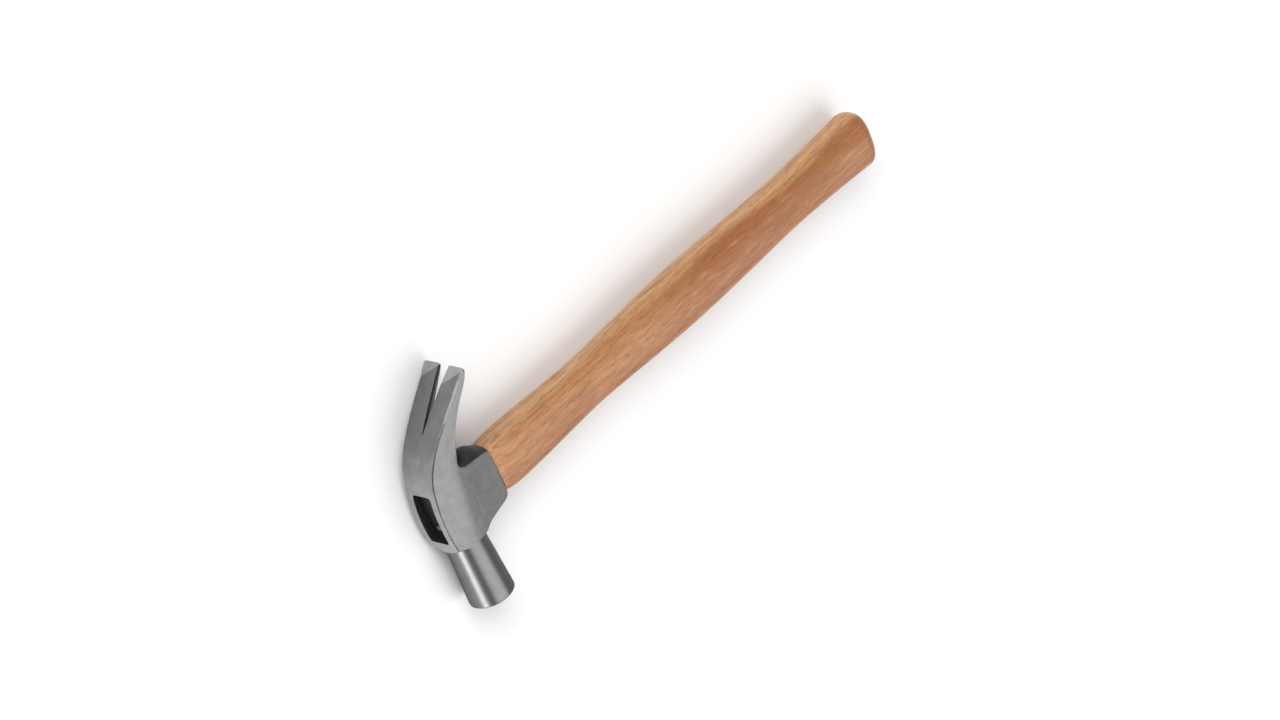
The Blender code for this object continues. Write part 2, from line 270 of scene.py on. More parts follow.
def smooth_through(points, steps):
    """Points along a Catmull-Rom curve through the given ones."""
    vectors = [Vector(point) for point in points]
    ends = [2 * vectors[0] - vectors[1], 2 * vectors[-1] - vectors[-2]]
    padded = [ends[0], *vectors, ends[1]]
    result = []
    for before, start, end, after in zip(padded, padded[1:], padded[2:], padded[3:]):
        for step in range(steps):
            t = step / steps
            bend = 2 * before - 5 * start + 4 * end - after
            curl = 3 * start - before - 3 * end + after
            result.append(start + 0.5 * ((end - before) * t + bend * t ** 2 + curl * t ** 3))
    result.append(vectors[-1])
    return result


def blend(low, high, fraction):
    return low + (high - low) * fraction


def ease(value, start, end):
    """0 before start, 1 after end, and a smooth rise between them."""
    t = min(max((value - start) / (end - start), 0.0), 1.0)
    return t * t * (3 - 2 * t)


def soft_rise(value, softness):
    """0 well below zero and value well above it, with a rounded bend between them."""
    return (value + (value * value + softness * softness) ** 0.5) / 2


def section(half_width, half_height, squareness, sides):
    """Points round a section, which is an ellipse at squareness 2 and boxier above it."""
    power = 2 / squareness
    points = []
    for index in range(sides):
        angle = 2 * pi * (index + 0.5) / sides
        across = copysign(abs(cos(angle)) ** power, cos(angle))
        up = copysign(abs(sin(angle)) ** power, sin(angle))
        points.append((half_width * across, half_height * up))
    return points


def loft(rings):
    """A closed body through rings of points, capped at both ends."""
    bm = bmesh.new()
    loops = [[bm.verts.new(point) for point in ring] for ring in rings]
    for lower, upper in zip(loops, loops[1:]):
        for index in range(len(lower)):
            after = (index + 1) % len(lower)
            bm.faces.new((lower[index], lower[after], upper[after], upper[index]))
    bm.faces.new(loops[0])
    bm.faces.new(loops[-1])
    return bm


def make_object(name, bm, materials):
    """Turn a bmesh in millimetres on the hammer's axes into an object in the world."""
    bmesh.ops.scale(bm, vec=(MM, MM, MM), verts=bm.verts)
    bmesh.ops.recalc_face_normals(bm, faces=bm.faces)
    mesh = bpy.data.meshes.new(name)
    bm.to_mesh(mesh)
    bm.free()
    obj = bpy.data.objects.new(name, mesh)
    obj.location = HAMMER_ORIGIN
    bpy.context.scene.collection.objects.link(obj)
    for material in materials:
        mesh.materials.append(material)
    return obj


def set_material(bm, material_index):
    for face in bm.faces:
        face.material_index = material_index


def boolean(obj, other, operation):
    modifier = obj.modifiers.new(other.name, "BOOLEAN")
    modifier.operation = operation
    modifier.solver = "EXACT"
    modifier.material_mode = "TRANSFER"
    modifier.object = other


def settle(obj, tools=(), sharp_angle=30.0):
    """Apply the modifiers, drop the tool bodies and shade the result."""
    bpy.context.view_layer.update()
    evaluated = obj.evaluated_get(bpy.context.evaluated_depsgraph_get())
    mesh = bpy.data.meshes.new_from_object(evaluated)
    obj.modifiers.clear()
    obj.data = mesh
    for tool in tools:
        bpy.data.objects.remove(tool, do_unlink=True)
    mesh.shade_smooth()
    mesh.set_sharp_from_angle(angle=radians(sharp_angle))
    weighted = obj.modifiers.new("weighted_normals", "WEIGHTED_NORMAL")
    weighted.keep_sharp = True


# ---------------------------------------------------------------- head

def cheek_half_width(x, y):
    """Half the head's width across the cheeks at a point of its side view."""
    start = TAPER_START_X + TAPER_SLANT * y
    slope = (CHEEK_HALF_WIDTH - COLLAR_END_HALF_WIDTH) / (COLLAR_END_X - TAPER_START_X)
    taper = slope * soft_rise(x - start, TAPER_SOFTNESS) * (1 - ease(y, *TAPER_FADE_Y))
    spread = (TIP_HALF_WIDTH - CHEEK_HALF_WIDTH) / (TIP_Y - CLAW_SPREAD_START_Y)
    claw = spread * soft_rise(y - CLAW_SPREAD_START_Y, CLAW_SPREAD_SOFTNESS)
    return CHEEK_HALF_WIDTH - taper + claw


def round_corners(points):
    """The open line through the points with each inner corner rounded."""
    result = [points[0]]
    for before, corner, after in zip(points, points[1:], points[2:]):
        start = corner + (before - corner) * min(CORNER_RADIUS / (before - corner).length, 0.4)
        end = corner + (after - corner) * min(CORNER_RADIUS / (after - corner).length, 0.4)
        for step in range(CORNER_STEPS + 1):
            t = step / CORNER_STEPS
            result.append(start * (1 - t) ** 2 + corner * 2 * t * (1 - t) + end * t ** 2)
    result.append(points[-1])
    return result


def split_long(points, longest):
    """The same line with its long stretches divided."""
    result = []
    for start, end in zip(points, points[1:]):
        count = max(1, round((end - start).length / longest))
        result += [start + (end - start) * step / count for step in range(count)]
    result.append(points[-1])
    return result


def side_outline():
    """The outline with, for each point, which part of the head it belongs to."""
    back = smooth_through(BACK_LINE, LINE_STEPS)
    belly = smooth_through(BELLY_LINE, LINE_STEPS)
    corners = [belly[-1]] + [Vector(point) for point in NOTCH + COLLAR_END + CHIN]
    corners = split_long(round_corners(corners), 2.0)[1:]
    shoulder = [Vector(point) for point in POLL_SHOULDER]
    points = back + belly + corners + shoulder
    parts = ["back"] * len(back) + ["forged"] * (len(belly) + len(corners))
    parts += ["shoulder"] * len(shoulder)
    parts[len(back) - 1] = "tip"
    return points, parts


def edge_sizes(points, parts):
    """In-plane inset and drop across the cheek of the edge at each outline point."""
    tip = points[parts.index("tip")]
    sizes = []
    for point, part in zip(points, parts):
        from_tip = (point - tip).length
        if part in ("back", "tip"):
            along = max(1 - from_tip / CLAW_CHAMFER_LENGTH, 0.0) * ease(from_tip, *CLAW_CHAMFER_EASE)
            inset = blend(BACK_EDGE, CLAW_CHAMFER_INSET, along)
            drop = blend(BACK_EDGE, CLAW_CHAMFER_DROP, along)
            sizes.append((min(inset, EDGE_BREAK + TIP_EDGE_GROWTH * from_tip), drop))
        elif part == "shoulder":
            sizes.append((BACK_EDGE, BACK_EDGE))
        else:
            sizes.append((EDGE_BREAK, EDGE_BREAK))
    return sizes


def outward(before, point, after):
    """Mitred outward direction at a corner of an outline that runs clockwise."""
    into = (point - before).normalized()
    away = (after - point).normalized()
    mean = (into + away).normalized()
    normal = Vector((-mean.y, mean.x))
    return normal / max(normal.dot(Vector((-into.y, into.x))), 0.5)


def rim_materials(point, part, tip):
    """Materials of the cheek-side facet, the outer facet and the wall below them."""
    if part == "forged":
        return STEEL, STEEL, PAINT
    if part == "tip" or (point - tip).length < CLAW_CHAMFER_LENGTH:
        return CHAMFER, CHAMFER, STEEL
    return PAINT, CHAMFER, STEEL


def build_head_plate():
    """One cheek of the head and half its thickness, down to the middle plane."""
    points, parts = side_outline()
    sizes = edge_sizes(points, parts)
    tip = points[parts.index("tip")]
    count = len(points)
    normals = [outward(points[i - 1], points[i], points[(i + 1) % count]) for i in range(count)]
    bm = bmesh.new()
    cheek = []
    for point, normal, (inset, _) in zip(points, normals, sizes):
        inner = point - inset * normal
        cheek.append(bm.verts.new((inner.x, inner.y, 0.0)))
    bm.faces.new(cheek)
    rings = [cheek]
    for fraction_in, fraction_down in EDGE_ROWS:
        ring = []
        for point, normal, (inset, drop) in zip(points, normals, sizes):
            edge = point - inset * fraction_in * normal
            z = cheek_half_width(edge.x, edge.y) - drop * fraction_down
            ring.append(bm.verts.new((edge.x, edge.y, z)))
        rings.append(ring)
    for row in CROWN_ROWS:
        ring = []
        for point, normal, part, outer in zip(points, normals, parts, rings[2]):
            bulge = crown_height(point, part) * (1 - row ** 2)
            ring.append(bm.verts.new((*(point + bulge * normal), outer.co.z * row)))
        rings.append(ring)
    for level, (upper, lower) in enumerate(zip(rings, rings[1:])):
        for index in range(count):
            after = (index + 1) % count
            side = bm.faces.new((upper[index], upper[after], lower[after], lower[index]))
            side.material_index = rim_materials(points[index], parts[index], tip)[min(level, 2)]
    cut_cheek_into_grid(bm)
    for vert in {vert for face in bm.faces if is_flat(face) for vert in face.verts}:
        vert.co.z = cheek_half_width(vert.co.x, vert.co.y)
    return bm


def crown_height(point, part):
    """How far the forged side of the collar stands out at the middle of its width."""
    if part != "forged" or point.y > NOTCH_TOP_Y:
        return 0.0
    if point.y > COLLAR_SIDE_Y:
        fall = 1 - CLAW_SIDE_FALL * ease(point.x, *CLAW_SIDE_FALL_X)
        return CLAW_SIDE_CROWN * ease(point.x, *CLAW_SIDE_RISE_X) * fall
    if point.y < -COLLAR_SIDE_Y:
        return POLL_SIDE_CROWN * ease(point.x, *POLL_SIDE_RISE_X)
    return 0.0


def is_flat(face):
    return all(abs(vert.co.z) < 1e-9 for vert in face.verts)


def cut_cheek_into_grid(bm):
    """Divide the flat cheek face, and only that, with lines along x and y."""
    for axis, low, high in ((0, CROWN_X, BELLY_LINE[0][0]), (1, CHIN[-1][1], TIP_Y)):
        normal = Vector((0.0, 0.0, 0.0))
        normal[axis] = 1.0
        for index in range(1, int((high - low) / CHEEK_GRID) + 1):
            place = normal * (low + index * CHEEK_GRID)
            faces = [face for face in bm.faces if is_flat(face)]
            edges = {edge for face in faces for edge in face.edges}
            verts = {vert for face in faces for vert in face.verts}
            bmesh.ops.bisect_plane(
                bm, geom=[*verts, *edges, *faces], dist=0.001, plane_co=place, plane_no=normal)


def build_poll(materials):
    """Round poll that widens to a chamfered, barely crowned face."""
    stations = []
    last_y = FACE_Y + FACE_EDGE
    for step in range(CONE_STEPS + 1):
        t = step / CONE_STEPS
        middle = POLL_START_X * (1 - t)
        radius = blend(POLL_START_RADIUS, FACE_RADIUS, t)
        stations.append((blend(POLL_START_Y, last_y, t), middle, radius))
    for step in range(1, FACE_EDGE_STEPS + 1):
        angle = pi / 2 * step / FACE_EDGE_STEPS
        radius = FACE_RADIUS - FACE_EDGE * (1 - cos(angle))
        stations.append((last_y - (FACE_EDGE - FACE_CROWN) * sin(angle), 0.0, radius))
    for fraction in FACE_RINGS:
        y = FACE_Y + FACE_CROWN * fraction ** 2
        stations.append((y, 0.0, (FACE_RADIUS - FACE_EDGE) * fraction))
    rings = []
    for y, middle, radius in stations:
        outline = section(radius, radius, 2.0, POLL_SIDES)
        rings.append([(middle + x, y, z) for x, z in outline])
    bm = loft(rings)
    set_material(bm, TURNED)
    return make_object("poll_body", bm, materials)


def build_shoulder_cutter(materials):
    """Cutter, turned about the poll's axis, that leaves the body's conical shoulder.

    A tilted flat tops the cone level with the chin's corner, so that the cut fades out there.
    """
    reach = SHOULDER_TOP_Y - SHOULDER_Y + SHOULDER_SLOPE * SHOULDER_FLAT_RADIUS
    rings = [[], [], [], [], []]
    for x, z in section(1.0, 1.0, 2.0, POLL_SIDES):
        top = reach / (SHOULDER_SLOPE + SHOULDER_TOP_TILT * x)
        outer_y = SHOULDER_TOP_Y - SHOULDER_TOP_TILT * SHOULDER_RADIUS * x
        stations = [(0.5, SHOULDER_Y), (SHOULDER_FLAT_RADIUS, SHOULDER_Y),
                    (top, SHOULDER_TOP_Y - SHOULDER_TOP_TILT * top * x),
                    (SHOULDER_RADIUS, outer_y), (SHOULDER_RADIUS, FACE_Y)]
        for ring, (radius, y) in zip(rings, stations):
            ring.append((radius * x, y, radius * z))
    bm = loft(rings)
    trim(bm, (SHOULDER_END_X, 0, 0), (1, 0, 0))
    return make_object("shoulder_cutter", bm, materials)


def trim(bm, place, normal):
    """Cut off what lies beyond a plane, and close the cut."""
    parts = bm.verts[:] + bm.edges[:] + bm.faces[:]
    cut = bmesh.ops.bisect_plane(bm, geom=parts, plane_co=place, plane_no=normal, clear_outer=True)
    rim = [item for item in cut["geom_cut"] if isinstance(item, bmesh.types.BMEdge)]
    bmesh.ops.contextual_create(bm, geom=rim)


def build_slot_cutter(materials):
    """V slot that follows the claws' back: upright walls near it, then a flare below them."""
    back = smooth_through(BACK_LINE, LINE_STEPS)
    beyond = back[-1] + SLOT_OVERRUN * (back[-1] - back[-2])
    root = Vector(SLOT_ROOT)
    along = Vector(SLOT_ALONG).normalized()
    stations = [point for point in back + [beyond] if (point - root).dot(along) > SLOT_START]
    rings = []
    for index, point in enumerate(stations):
        before = stations[max(index - 1, 0)]
        after = stations[min(index + 1, len(stations) - 1)]
        run = (after - before).normalized()
        through = Vector((run.y, -run.x))
        reach = max((point - root).dot(along), 0.0)
        half = blend(SLOT_ROOT_HALF_WIDTH, SLOT_END_HALF_WIDTH, reach / SLOT_LENGTH)
        flare = SLOT_FLARE * ease(reach, 0.0, SLOT_FLARE_RUN) * (SLOT_DEPTH - SLOT_WALL)
        outline = [(-SLOT_RISE, -half), (-SLOT_RISE, half), (SLOT_WALL, half),
                   (SLOT_DEPTH, half + flare), (SLOT_DEPTH, -half - flare), (SLOT_WALL, -half)]
        rings.append([(*(point + through * depth), z) for depth, z in outline])
    bm = loft(rings)
    set_material(bm, PAINT)
    return make_object("slot_cutter", bm, materials)


def eye_ring(x, inset, sides=EYE_SIDES):
    """The eye's section at x, drawn in by an inset."""
    fraction = (x - EYE_MOUTH[0]) / (EYE_COLLAR[0] - EYE_MOUTH[0])
    middle, half_y, half_z = (blend(a, b, fraction) for a, b in zip(EYE_MOUTH[1:], EYE_COLLAR[1:]))
    outline = section(half_y - inset, half_z - inset, EYE_SQUARENESS, sides)
    return [(x, middle + y, z) for y, z in outline]


def build_eye_cutter(materials):
    """The eye, with a small lip worn round its mouth."""
    rings = [eye_ring(CROWN_X - EYE_OVERRUN, -EYE_LIP - EYE_OVERRUN * EYE_OVERRUN_FLARE),
             eye_ring(CROWN_X + EYE_LIP_ENDS[0], -EYE_LIP),
             eye_ring(CROWN_X + EYE_LIP_ENDS[1], 0.0),
             eye_ring(COLLAR_END_X + EYE_OVERRUN, 0.0)]
    bm = loft(rings)
    set_material(bm, GLOSS_PAINT)
    return make_object("eye_cutter", bm, materials)


def tip_frame():
    """The claw tip's outer corner, the way along the claw and the way through it."""
    along = Vector((*TIP_ALONG, 0.0)).normalized()
    through = Vector((along.y, -along.x, 0.0))
    return Vector((*BACK_LINE[-1], 0.0)), along, through


def build_tip_rounder(side, materials):
    """Cutter that leaves one claw with an arched end and rounded corners."""
    tip, along, through = tip_frame()
    middle = (TIP_INNER_Z + TIP_HALF_WIDTH) / 2
    half = (TIP_HALF_WIDTH - TIP_INNER_Z) / 2
    outline = []
    for step in range(TIP_ROUND_STEPS + 1):
        t = -cos(pi * step / TIP_ROUND_STEPS)
        depth = TIP_OUTER_ROUND if t > 0 else TIP_INNER_ROUND
        fall = 1 - (1 - abs(t) ** TIP_ROUND_POWER) ** (1 / TIP_ROUND_POWER)
        outline.append((-depth * fall, middle + half * t))
    outer_z = TIP_HALF_WIDTH + CUTTER_BESIDE
    inner_z = TIP_INNER_Z - CUTTER_BESIDE
    outline += [(-TIP_OUTER_ROUND, outer_z), (CUTTER_AHEAD, outer_z),
                (CUTTER_AHEAD, inner_z), (-TIP_INNER_ROUND, inner_z)]
    rings = []
    for depth in (-CUTTER_THROUGH, CUTTER_THROUGH):
        start = tip + along * TIP_ALLOWANCE + through * depth
        rings.append([start + along * run + Vector((0, 0, side * z)) for run, z in outline])
    bm = loft(rings)
    set_material(bm, STEEL)
    return make_object("tip_rounder", bm, materials)


def build_tip_facet(side, materials):
    """Cutter for the ground facet on one claw, whose lower edge runs on a slant."""
    tip, along, through = tip_frame()
    low, high = sorted((side * TIP_INNER_Z, side * TIP_HALF_WIDTH))
    long_point = tip - along * TIP_FACET_LONG + Vector((0, 0, low))
    short_point = tip - along * TIP_FACET_SHORT + Vector((0, 0, high))
    deep_point = tip + through * TIP_FACET_DEPTH + Vector((0, 0, low))
    normal = (short_point - long_point).cross(deep_point - long_point).normalized()
    if normal.dot(through) > 0:
        normal = -normal
    edge = (short_point - long_point).normalized()
    forward = edge.cross(normal)
    if forward.dot(along) < 0:
        forward = -forward
    near, far = FACET_CUTTER_ENDS
    corners = ((0.0, near), (0.0, far), (FACET_CUTTER_AHEAD, far), (FACET_CUTTER_AHEAD, near))
    rings = []
    for height in (0.0, CUTTER_THROUGH):
        base = long_point + normal * height
        rings.append([base + forward * run + edge * reach for run, reach in corners])
    bm = loft(rings)
    trim(bm, (0, 0, 0), (0, 0, -side))
    set_material(bm, FACET)
    return make_object("tip_facet", bm, materials)


def build_head(materials):
    head = make_object("claw_head", build_head_plate(), materials)
    mirror = head.modifiers.new("both_cheeks", "MIRROR")
    mirror.use_axis = (False, False, True)
    mirror.merge_threshold = 0.00001
    shoulder = build_shoulder_cutter(materials)
    poll = build_poll(materials)
    cutters = [build_eye_cutter(materials), build_slot_cutter(materials)]
    for side in (-1, 1):
        cutters.append(build_tip_rounder(side, materials))
        cutters.append(build_tip_facet(side, materials))
    boolean(head, shoulder, "DIFFERENCE")
    boolean(head, poll, "UNION")
    for cutter in cutters:
        boolean(head, cutter, "DIFFERENCE")
    settle(head, [shoulder, poll, *cutters])
    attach(head, "root")
    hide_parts("hammer_head")
    return head


# ---------------------------------------------------------------- handle and wedges

def grip_ring(x, half_y, half_z, squareness):
    return [(x, y, z) for y, z in section(half_y, half_z, squareness, HANDLE_SIDES)]


def build_wedge(y_ends, z_ends, x_ends, clearance):
    """A wedge body between its top and its toe, from a (low, high) pair in y and z at each."""
    rings = []
    for (y_low, y_high), (z_low, z_high), x in zip(y_ends, z_ends, x_ends):
        y_low, y_high = y_low - clearance, y_high + clearance
        z_low, z_high = z_low - clearance, z_high + clearance
        rings.append([(x, y_low, z_low), (x, y_high, z_low), (x, y_high, z_high), (x, y_low, z_high)])
    return loft(rings)


def wood_wedge_body(clearance, x_ends, overhang):
    top = WOOD_WEDGE_TOP / 2
    toe = WOOD_WEDGE_TOE / 2
    y_ends = []
    for x in x_ends:
        side = [y for _, y, _ in eye_ring(x, TENON_GAP)]
        y_ends.append((min(side) - overhang, max(side) + overhang))
    return build_wedge(y_ends, ((-top, top), (-toe, toe)), x_ends, clearance)


def steel_wedge_body(clearance):
    sizes = (STEEL_WEDGE_TOP, STEEL_WEDGE_TOE)
    y_ends = [(STEEL_WEDGE_Y - size / 2, STEEL_WEDGE_Y + size / 2) for size in sizes]
    half = STEEL_WEDGE_WIDTH / 2
    start = TENON_END_X - STEEL_WEDGE_PROUD
    x_ends = (start, start + STEEL_WEDGE_DEPTH)
    return build_wedge(y_ends, ((-half, half), (-half, half)), x_ends, clearance)


def steel_slot_cutter(name):
    return make_object(name, steel_wedge_body(KERF_GAP), [])


def butt_rings(last_x, half_y, half_z, squareness):
    """Rings round the butt's edge and in to the middle of its slightly domed end."""
    end_x = BUTT_X - BUTT_TILT * (half_y - BUTT_ROUND)
    rings = []
    for step in range(1, BUTT_STEPS + 1):
        angle = pi / 2 * step / BUTT_STEPS
        inset = BUTT_ROUND * (1 - cos(angle))
        x = last_x + (end_x - last_x) * sin(angle)
        ring = grip_ring(x, half_y - inset, half_z - inset, squareness)
        rings.append([(x + BUTT_TILT * sin(angle) * y, y, z) for x, y, z in ring])
    for step in range(1, BUTT_RINGS):
        scale = 1 - step / BUTT_RINGS
        ring = grip_ring(end_x, (half_y - BUTT_ROUND) * scale, (half_z - BUTT_ROUND) * scale, squareness)
        rings.append([(x + BUTT_TILT * y, y, z) for x, y, z in ring])
    return rings


def build_handle(material):
    """Tenon, shoulder, grip and butt in one body, with the kerf and the wedge's slot cut in."""
    tenon_xs = (TENON_END_X, *TENON_MIDDLE_X, COLLAR_END_X + 0.1)
    rings = [eye_ring(x, TENON_GAP, HANDLE_SIDES) for x in tenon_xs]
    first_x, first_y, first_z, first_square = GRIP[0]
    for step in range(COLLAR_ROUND_STEPS + 1):
        angle = pi / 2 * step / COLLAR_ROUND_STEPS
        inset = COLLAR_ROUND * (1 - sin(angle))
        x = first_x - COLLAR_ROUND * COLLAR_ROUND_RUN * cos(angle)
        rings.append(grip_ring(x, first_y - inset, first_z - inset, first_square))
    grip = smooth_through(GRIP, GRIP_STEPS)
    rings += [grip_ring(*station) for station in grip[1:]]
    rings += butt_rings(*grip[-1])
    handle = make_object("turned_handle", loft(rings), [material])
    ends = (TENON_END_X - 1.0, TENON_END_X + KERF_DEPTH)
    kerf = make_object("kerf_cutter", wood_wedge_body(KERF_GAP, ends, KERF_OVERHANG), [])
    slot = steel_slot_cutter("handle_wedge_cutter")
    boolean(handle, kerf, "DIFFERENCE")
    boolean(handle, slot, "DIFFERENCE")
    settle(handle, [kerf, slot])
    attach(handle, "root")
    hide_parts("handle")
    return handle


def build_wooden_wedge(material):
    ends = (TENON_END_X - WOOD_WEDGE_PROUD, TENON_END_X + WOOD_WEDGE_DEPTH)
    body = wood_wedge_body(0.0, ends, -WOOD_WEDGE_SIDE_GAP)
    wedge = make_object("driven_wood_wedge", body, [material])
    slot = steel_slot_cutter("wood_wedge_cutter")
    boolean(wedge, slot, "DIFFERENCE")
    bevel = wedge.modifiers.new("worn_edges", "BEVEL")
    bevel.width = 0.15 * MM
    bevel.segments = 2
    settle(wedge, [slot])
    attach(wedge, "root")
    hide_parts("wooden_wedge")
    return wedge


def build_steel_wedge(material):
    wedge = make_object("driven_steel_wedge", steel_wedge_body(0.0), [material])
    bevel = wedge.modifiers.new("struck_edges", "BEVEL")
    bevel.width = 0.25 * MM
    bevel.segments = 3
    settle(wedge)
    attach(wedge, "root")
    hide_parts("steel_wedge")
    return wedge


# ---------------------------------------------------------------- materials

class Shader:
    """A material's node tree, with short ways to add and link nodes."""

    def __init__(self, name):
        self.material = bpy.data.materials.new(name)
        self.material.use_nodes = True
        self.tree = self.material.node_tree
        self.surface = self.tree.nodes["Principled BSDF"]

    def node(self, kind, inputs, **settings):
        """Add a node, then set or link its inputs, which are named or numbered."""
        made = self.tree.nodes.new(kind)
        for key, value in settings.items():
            setattr(made, key, value)
        for key, value in inputs.items():
            self.feed(made.inputs[key], value)
        return made

    def feed(self, socket, value):
        if isinstance(value, bpy.types.NodeSocket):
            self.tree.links.new(value, socket)
        elif isinstance(value, bpy.types.Node):
            self.tree.links.new(value.outputs[0], socket)
        else:
            socket.default_value = value

    def place(self, stretch=(1.0, 1.0, 1.0)):
        """Object coordinates in millimetres, times a stretch."""
        where = self.node("ShaderNodeTexCoord", {})
        scale = [1000 * size for size in stretch]
        inputs = {0: where.outputs["Object"], "Scale": scale}
        return self.node("ShaderNodeMapping", inputs)

    def noise(self, place, scale=1.0, detail=3.0, roughness=0.5, distortion=0.0):
        """Noise from 0 to 1 whose features are about 1 / scale millimetres across."""
        return self.node("ShaderNodeTexNoise", {
            "Vector": place, "Scale": scale, "Detail": detail,
            "Roughness": roughness, "Distortion": distortion}).outputs[0]

    def math(self, operation, first, second=0.0):
        return self.node("ShaderNodeMath", {0: first, 1: second}, operation=operation)

    def ranged(self, value, low, high, to_low=0.0, to_high=1.0):
        """value carried from low..high to to_low..to_high, with soft ends."""
        return self.node("ShaderNodeMapRange", {
            "Value": value, "From Min": low, "From Max": high,
            "To Min": to_low, "To Max": to_high}, interpolation_type="SMOOTHSTEP").outputs[0]

    def mix(self, fraction, first, second):
        mixed = self.node("ShaderNodeMix", {0: fraction}, data_type="RGBA")
        for index, colour in ((6, first), (7, second)):
            self.feed(mixed.inputs[index], (*colour, 1.0) if isinstance(colour, tuple) else colour)
        return mixed.outputs[2]

    def axes(self, vector):
        return self.node("ShaderNodeSeparateXYZ", {0: vector}).outputs

    def set(self, **values):
        names = {"colour": "Base Color", "roughness": "Roughness", "metallic": "Metallic",
                 "coat": "Coat Weight", "coat_roughness": "Coat Roughness", "normal": "Normal",
                 "specular": "Specular IOR Level", "edge_tint": "Specular Tint"}
        for key, value in values.items():
            self.feed(self.surface.inputs[names[key]], value)
        return self.material

    def bump(self, height, distance, strength=1.0):
        """Bump whose full height is a distance in millimetres."""
        inputs = {"Height": height, "Distance": distance * MM, "Strength": strength}
        return self.node("ShaderNodeBump", inputs)


def ground_steel(name, tone, claw_back_painted_reflection, eye_back_painted_reflection, roughness):
    """Belt-ground steel: the scratches run along the back, and from poll to claws on the cheeks.

    The back's colour carries a painted reflection: darker on the claws and lighter towards the eye.
    """
    shader = Shader(name)
    normal = shader.axes(shader.node("ShaderNodeTexCoord", {}).outputs["Normal"])
    on_cheek = shader.ranged(shader.math("ABSOLUTE", normal[2]), 0.45, 0.75)
    cheek_lines = shader.noise(shader.place((3.2, 0.16, 0.4)), 1.0, 4.0, 0.62)
    back_lines = shader.noise(shader.place((0.12, 0.12, 4.5)), 1.0, 4.0, 0.62)
    lines = shader.node("ShaderNodeMix", {0: on_cheek, 2: back_lines, 3: cheek_lines}).outputs[0]
    cloud = shader.noise(shader.place(), 0.16, 4.0, 0.6)
    speck = shader.noise(shader.place(), 2.2, 2.0, 0.6)
    # Painted reflection: the back's grey runs from the claws' darker tone to a lighter one towards the
    # eye, while cheek faces keep tone 1.
    along = shader.axes(shader.place())[1]
    painted_reflection_to_claws = shader.ranged(along, *PAINTED_REFLECTION_TO_CLAWS_Y)
    middle_back_painted_reflection = claw_back_painted_reflection + (eye_back_painted_reflection - claw_back_painted_reflection) * PAINTED_REFLECTION_MIDDLE_SHARE
    painted_reflection_to_eye = shader.ranged(along, *PAINTED_REFLECTION_TO_EYE_Y, middle_back_painted_reflection, eye_back_painted_reflection)
    back = shader.node("ShaderNodeMix", {0: painted_reflection_to_claws, 2: painted_reflection_to_eye, 3: claw_back_painted_reflection}).outputs[0]
    level = shader.node("ShaderNodeMix", {0: on_cheek, 2: back, 3: 1.0}).outputs[0]
    level = shader.math("MULTIPLY", level, shader.ranged(lines, 0.3, 0.72, 0.84, 1.14))
    level = shader.math("MULTIPLY", level, shader.ranged(cloud, 0.35, 0.65, 0.93, 1.06))
    grey = shader.math("MULTIPLY", level, tone)
    colour = shader.node("ShaderNodeCombineColor", {0: grey, 1: grey, 2: grey})
    gloss = shader.math("ADD", shader.ranged(lines, 0.25, 0.75, roughness - 0.06, roughness + 0.1),
                        shader.ranged(speck, 0.3, 0.7, -0.03, 0.03))
    return shader.set(colour=colour, roughness=gloss, metallic=1.0, normal=shader.bump(lines, 0.02))


def turned_steel():
    """The poll, turned and polished: fine rings round it and a smooth reflection along it."""
    shader = Shader("turned_steel")
    rings = shader.noise(shader.place((0.1, 5.0, 0.1)), 1.0, 4.0, 0.6)
    cloud = shader.noise(shader.place(), 0.2, 3.0, 0.55)
    dull, bright = ((tone, tone, tone) for tone in POLL_TONES)
    colour = shader.mix(shader.ranged(cloud, 0.35, 0.65), dull, bright)
    gloss = shader.ranged(rings, 0.3, 0.7, 0.32, 0.36)
    edge_tint = (POLL_EDGE_TINT, POLL_EDGE_TINT, POLL_EDGE_TINT, 1.0)
    return shader.set(colour=colour, roughness=gloss, metallic=1.0, edge_tint=edge_tint,
                      normal=shader.bump(rings, 0.0012))


def black_paint(name, grain_size, rough, lift):
    """Thick black enamel over forged steel, grainy where the scale beneath is rough."""
    shader = Shader(name)
    grain = shader.noise(shader.place(), 1 / grain_size, 3.0, 0.6)
    swell = shader.noise(shader.place(), 0.5, 2.0, 0.5)
    colour = shader.mix(shader.ranged(grain, 0.45, 0.8), PAINT_DARK, PAINT_LIGHT)
    height = shader.math("ADD", grain, shader.math("MULTIPLY", swell, 1.5))
    gloss = shader.ranged(grain, 0.3, 0.7, rough - 0.08, rough + 0.1)
    return shader.set(colour=colour, roughness=gloss, specular=0.32, normal=shader.bump(height, lift))


